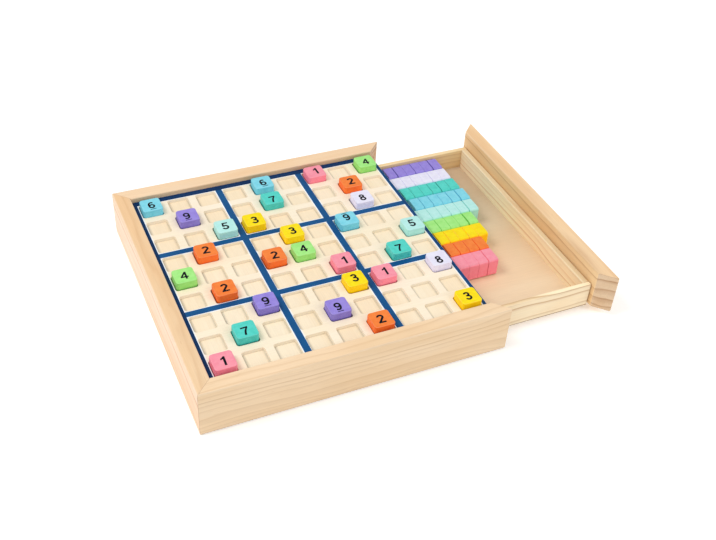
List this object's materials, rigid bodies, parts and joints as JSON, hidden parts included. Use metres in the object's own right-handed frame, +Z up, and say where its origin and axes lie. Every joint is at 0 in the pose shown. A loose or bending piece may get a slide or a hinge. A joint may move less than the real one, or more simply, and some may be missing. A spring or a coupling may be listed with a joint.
{
  "type": "sudoku board",
  "caption": "Square wooden sudoku board with a mitred frame, pockets for coloured number tiles, and a side drawer whose fascia is the fourth side of the frame.",
  "frame": {"origin": "centre of the underside of the square frame", "axes": "+X the way the drawer opens, +Y towards the back row of the grid, +Z up"},
  "size_m": [0.341, 0.244, 0.0415],
  "materials": {
    "pine_rail": "satin varnished pine",
    "pine_strip": "plain sawn pine",
    "plywood": "plain plywood",
    "pin_steel": "bright steel",
    "pocket_floor": "sanded plywood",
    "printed_sheet": "pale sheet with printed blue lines",
    "pine_drawer": "sanded pine",
    "drawer_ply": "sanded plywood",
    "tile_1": "painted, satin",
    "tile_2": "painted, satin",
    "tile_3": "painted, satin",
    "tile_4": "painted, satin",
    "tile_5": "painted, satin",
    "tile_6": "painted, satin",
    "tile_7": "painted, satin",
    "tile_8": "painted, satin",
    "tile_9": "painted, satin"
  },
  "bodies": {
    "frame": {"rail_left": "pine_rail", "rail_back": "pine_rail", "rail_front": "pine_rail", "base_panel": "plywood", "base_pins": "pin_steel", "cleat_left": "pine_strip", "cleat_back": "pine_strip", "cleat_front": "pine_strip", "board_backing": "pocket_floor", "grid_sheet": "printed_sheet"},
    "drawer": {"drawer_fascia": "pine_rail", "drawer_outer_wall": "pine_drawer", "drawer_inner_wall": "pine_drawer", "drawer_back_wall": "pine_drawer", "drawer_front_wall": "pine_drawer", "drawer_floor": "drawer_ply"},
    "drawer_row_1": {"drawer_tiles_1": "tile_1"},
    "drawer_row_2": {"drawer_tiles_2": "tile_2"},
    "drawer_row_3": {"drawer_tiles_3": "tile_3"},
    "drawer_row_4": {"drawer_tiles_4": "tile_4"},
    "drawer_row_5": {"drawer_tiles_5": "tile_5"},
    "drawer_row_6": {"drawer_tiles_6": "tile_6"},
    "drawer_row_7": {"drawer_tiles_7": "tile_7"},
    "drawer_row_8": {"drawer_tiles_8": "tile_8"},
    "drawer_row_9": {"drawer_tiles_9": "tile_9"},
    "loose_tile_1_r1c7": {"tile_1_r1c7": "tile_1"},
    "loose_tile_1_r6c6": {"tile_1_r6c6": "tile_1"},
    "loose_tile_1_r7c7": {"tile_1_r7c7": "tile_1"},
    "loose_tile_1_r9c1": {"tile_1_r9c1": "tile_1"},
    "loose_tile_2_r2c8": {"tile_2_r2c8": "tile_2"},
    "loose_tile_2_r4c2": {"tile_2_r4c2": "tile_2"},
    "loose_tile_2_r5c4": {"tile_2_r5c4": "tile_2"},
    "loose_tile_2_r6c2": {"tile_2_r6c2": "tile_2"},
    "loose_tile_2_r9c6": {"tile_2_r9c6": "tile_2"},
    "loose_tile_3_r3c4": {"tile_3_r3c4": "tile_3"},
    "loose_tile_3_r4c5": {"tile_3_r4c5": "tile_3"},
    "loose_tile_3_r7c6": {"tile_3_r7c6": "tile_3"},
    "loose_tile_3_r9c9": {"tile_3_r9c9": "tile_3"},
    "loose_tile_4_r1c9": {"tile_4_r1c9": "tile_4"},
    "loose_tile_4_r5c1": {"tile_4_r5c1": "tile_4"},
    "loose_tile_4_r5c5": {"tile_4_r5c5": "tile_4"},
    "loose_tile_5_r3c3": {"tile_5_r3c3": "tile_5"},
    "loose_tile_5_r5c9": {"tile_5_r5c9": "tile_5"},
    "loose_tile_6_r1c1": {"tile_6_r1c1": "tile_6"},
    "loose_tile_6_r1c5": {"tile_6_r1c5": "tile_6"},
    "loose_tile_6_r4c7": {"tile_6_r4c7": "tile_6"},
    "loose_tile_7_r2c5": {"tile_7_r2c5": "tile_7"},
    "loose_tile_7_r6c8": {"tile_7_r6c8": "tile_7"},
    "loose_tile_7_r8c2": {"tile_7_r8c2": "tile_7"},
    "loose_tile_8_r3c8": {"tile_8_r3c8": "tile_8"},
    "loose_tile_8_r7c9": {"tile_8_r7c9": "tile_8"},
    "loose_tile_9_r2c2": {"tile_9_r2c2": "tile_9"},
    "loose_tile_9_r7c3": {"tile_9_r7c3": "tile_9"},
    "loose_tile_9_r8c5": {"tile_9_r8c5": "tile_9"}
  },
  "joints": [
    {"name": "drawer_slide", "type": "slide", "parent": "frame", "child": "drawer", "axis": [1, 0, 0], "range_m": [-0.097, 0.06]},
    {"name": "row_1_slide", "type": "slide", "parent": "drawer", "child": "drawer_row_1", "axis": [1, 0, 0], "range_m": [-0.111, 0.046]},
    {"name": "row_2_slide", "type": "slide", "parent": "drawer", "child": "drawer_row_2", "axis": [1, 0, 0], "range_m": [-0.121, 0.045]},
    {"name": "row_3_slide", "type": "slide", "parent": "drawer", "child": "drawer_row_3", "axis": [1, 0, 0], "range_m": [-0.12, 0.036]},
    {"name": "row_4_slide", "type": "slide", "parent": "drawer", "child": "drawer_row_4", "axis": [1, 0, 0], "range_m": [-0.112, 0.036]},
    {"name": "row_5_slide", "type": "slide", "parent": "drawer", "child": "drawer_row_5", "axis": [1, 0, 0], "range_m": [-0.112, 0.027]},
    {"name": "row_6_slide", "type": "slide", "parent": "drawer", "child": "drawer_row_6", "axis": [1, 0, 0], "range_m": [-0.122, 0.026]},
    {"name": "row_7_slide", "type": "slide", "parent": "drawer", "child": "drawer_row_7", "axis": [1, 0, 0], "range_m": [-0.121, 0.027]},
    {"name": "row_8_slide", "type": "slide", "parent": "drawer", "child": "drawer_row_8", "axis": [1, 0, 0], "range_m": [-0.111, 0.028]},
    {"name": "row_9_slide", "type": "slide", "parent": "drawer", "child": "drawer_row_9", "axis": [1, 0, 0], "range_m": [-0.12, 0.028]},
    {"name": "tile_1_r1c7_lift", "type": "slide", "parent": "frame", "child": "loose_tile_1_r1c7", "axis": [0, 0, 1], "range_m": [0, 0.03]},
    {"name": "tile_1_r6c6_lift", "type": "slide", "parent": "frame", "child": "loose_tile_1_r6c6", "axis": [0, 0, 1], "range_m": [0, 0.03]},
    {"name": "tile_1_r7c7_lift", "type": "slide", "parent": "frame", "child": "loose_tile_1_r7c7", "axis": [0, 0, 1], "range_m": [0, 0.03]},
    {"name": "tile_1_r9c1_lift", "type": "slide", "parent": "frame", "child": "loose_tile_1_r9c1", "axis": [0, 0, 1], "range_m": [0, 0.03]},
    {"name": "tile_2_r2c8_lift", "type": "slide", "parent": "frame", "child": "loose_tile_2_r2c8", "axis": [0, 0, 1], "range_m": [0, 0.03]},
    {"name": "tile_2_r4c2_lift", "type": "slide", "parent": "frame", "child": "loose_tile_2_r4c2", "axis": [0, 0, 1], "range_m": [0, 0.03]},
    {"name": "tile_2_r5c4_lift", "type": "slide", "parent": "frame", "child": "loose_tile_2_r5c4", "axis": [0, 0, 1], "range_m": [0, 0.03]},
    {"name": "tile_2_r6c2_lift", "type": "slide", "parent": "frame", "child": "loose_tile_2_r6c2", "axis": [0, 0, 1], "range_m": [0, 0.03]},
    {"name": "tile_2_r9c6_lift", "type": "slide", "parent": "frame", "child": "loose_tile_2_r9c6", "axis": [0, 0, 1], "range_m": [0, 0.03]},
    {"name": "tile_3_r3c4_lift", "type": "slide", "parent": "frame", "child": "loose_tile_3_r3c4", "axis": [0, 0, 1], "range_m": [0, 0.03]},
    {"name": "tile_3_r4c5_lift", "type": "slide", "parent": "frame", "child": "loose_tile_3_r4c5", "axis": [0, 0, 1], "range_m": [0, 0.03]},
    {"name": "tile_3_r7c6_lift", "type": "slide", "parent": "frame", "child": "loose_tile_3_r7c6", "axis": [0, 0, 1], "range_m": [0, 0.03]},
    {"name": "tile_3_r9c9_lift", "type": "slide", "parent": "frame", "child": "loose_tile_3_r9c9", "axis": [0, 0, 1], "range_m": [0, 0.03]},
    {"name": "tile_4_r1c9_lift", "type": "slide", "parent": "frame", "child": "loose_tile_4_r1c9", "axis": [0, 0, 1], "range_m": [0, 0.03]},
    {"name": "tile_4_r5c1_lift", "type": "slide", "parent": "frame", "child": "loose_tile_4_r5c1", "axis": [0, 0, 1], "range_m": [0, 0.03]},
    {"name": "tile_4_r5c5_lift", "type": "slide", "parent": "frame", "child": "loose_tile_4_r5c5", "axis": [0, 0, 1], "range_m": [0, 0.03]},
    {"name": "tile_5_r3c3_lift", "type": "slide", "parent": "frame", "child": "loose_tile_5_r3c3", "axis": [0, 0, 1], "range_m": [0, 0.03]},
    {"name": "tile_5_r5c9_lift", "type": "slide", "parent": "frame", "child": "loose_tile_5_r5c9", "axis": [0, 0, 1], "range_m": [0, 0.03]},
    {"name": "tile_6_r1c1_lift", "type": "slide", "parent": "frame", "child": "loose_tile_6_r1c1", "axis": [0, 0, 1], "range_m": [0, 0.03]},
    {"name": "tile_6_r1c5_lift", "type": "slide", "parent": "frame", "child": "loose_tile_6_r1c5", "axis": [0, 0, 1], "range_m": [0, 0.03]},
    {"name": "tile_6_r4c7_lift", "type": "slide", "parent": "frame", "child": "loose_tile_6_r4c7", "axis": [0, 0, 1], "range_m": [0, 0.03]},
    {"name": "tile_7_r2c5_lift", "type": "slide", "parent": "frame", "child": "loose_tile_7_r2c5", "axis": [0, 0, 1], "range_m": [0, 0.03]},
    {"name": "tile_7_r6c8_lift", "type": "slide", "parent": "frame", "child": "loose_tile_7_r6c8", "axis": [0, 0, 1], "range_m": [0, 0.03]},
    {"name": "tile_7_r8c2_lift", "type": "slide", "parent": "frame", "child": "loose_tile_7_r8c2", "axis": [0, 0, 1], "range_m": [0, 0.03]},
    {"name": "tile_8_r3c8_lift", "type": "slide", "parent": "frame", "child": "loose_tile_8_r3c8", "axis": [0, 0, 1], "range_m": [0, 0.03]},
    {"name": "tile_8_r7c9_lift", "type": "slide", "parent": "frame", "child": "loose_tile_8_r7c9", "axis": [0, 0, 1], "range_m": [0, 0.03]},
    {"name": "tile_9_r2c2_lift", "type": "slide", "parent": "frame", "child": "loose_tile_9_r2c2", "axis": [0, 0, 1], "range_m": [0, 0.03]},
    {"name": "tile_9_r7c3_lift", "type": "slide", "parent": "frame", "child": "loose_tile_9_r7c3", "axis": [0, 0, 1], "range_m": [0, 0.03]},
    {"name": "tile_9_r8c5_lift", "type": "slide", "parent": "frame", "child": "loose_tile_9_r8c5", "axis": [0, 0, 1], "range_m": [0, 0.03]}
  ]
}
